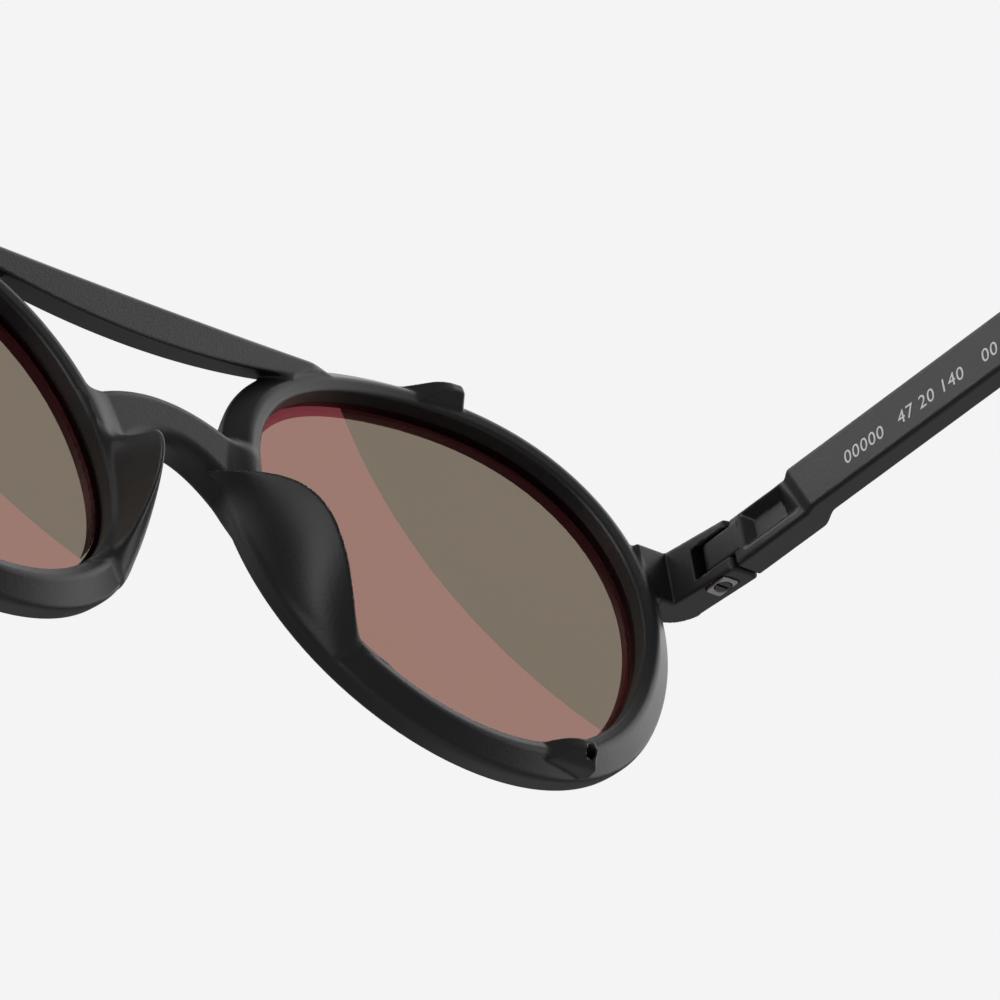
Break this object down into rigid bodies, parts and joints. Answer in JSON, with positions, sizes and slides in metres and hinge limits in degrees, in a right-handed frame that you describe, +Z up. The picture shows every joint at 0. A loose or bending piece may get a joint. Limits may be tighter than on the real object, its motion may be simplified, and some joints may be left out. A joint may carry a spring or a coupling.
{
  "type": "glacier glasses",
  "caption": "Round pilot-shaped mountain sunglasses with a double bridge, domed tinted lenses, moulded nose pads, shield mounts and folding temples.",
  "frame": {"origin": "under the middle of the whole object with the temples open, on the surface that the rims and the tips stand on", "axes": "+Z up, the front of the glasses faces -Y, the temples run to +Y, +X is the wearer's left"},
  "size_m": [0.1362, 0.1464, 0.0545],
  "materials": {
    "frame_plastic": "fine spark-eroded satin black nylon",
    "temple_plastic": "fine spark-eroded satin black nylon",
    "lens_tint": "grey-brown polycarbonate with a mirror coat",
    "hinge_steel": "stamped stainless steel",
    "core_steel": "drawn stainless wire",
    "bush_brass": "turned brass",
    "tip_rubber": "matt black elastomer"
  },
  "bodies": {
    "front": {"front_frame": "frame_plastic", "hinge_nut_left": "hinge_steel", "hinge_nut_right": "hinge_steel", "hinge_plate_left": "hinge_steel", "hinge_plate_right": "hinge_steel", "hinge_screw_left": "hinge_steel", "hinge_screw_right": "hinge_steel", "lens_left": "lens_tint", "lens_right": "lens_tint"},
    "right_temple": {"hinge_bush_right": "bush_brass", "temple_arm_right": "temple_plastic", "temple_core_right": "core_steel", "temple_tip_right": "tip_rubber"},
    "left_temple": {"hinge_bush_left": "bush_brass", "temple_arm_left": "temple_plastic", "temple_core_left": "core_steel", "temple_tip_left": "tip_rubber"}
  },
  "joints": [
    {"name": "right_temple_fold", "type": "hinge", "parent": "front", "child": "right_temple", "pos_m": [-0.0643, -0.05939, 0.03464], "axis": [0, -0.0523, -0.9986], "range_deg": [0, 90]},
    {"name": "left_temple_fold", "type": "hinge", "parent": "front", "child": "left_temple", "pos_m": [0.0643, -0.05939, 0.03464], "axis": [0, 0.0523, 0.9986], "range_deg": [0, 73]}
  ]
}
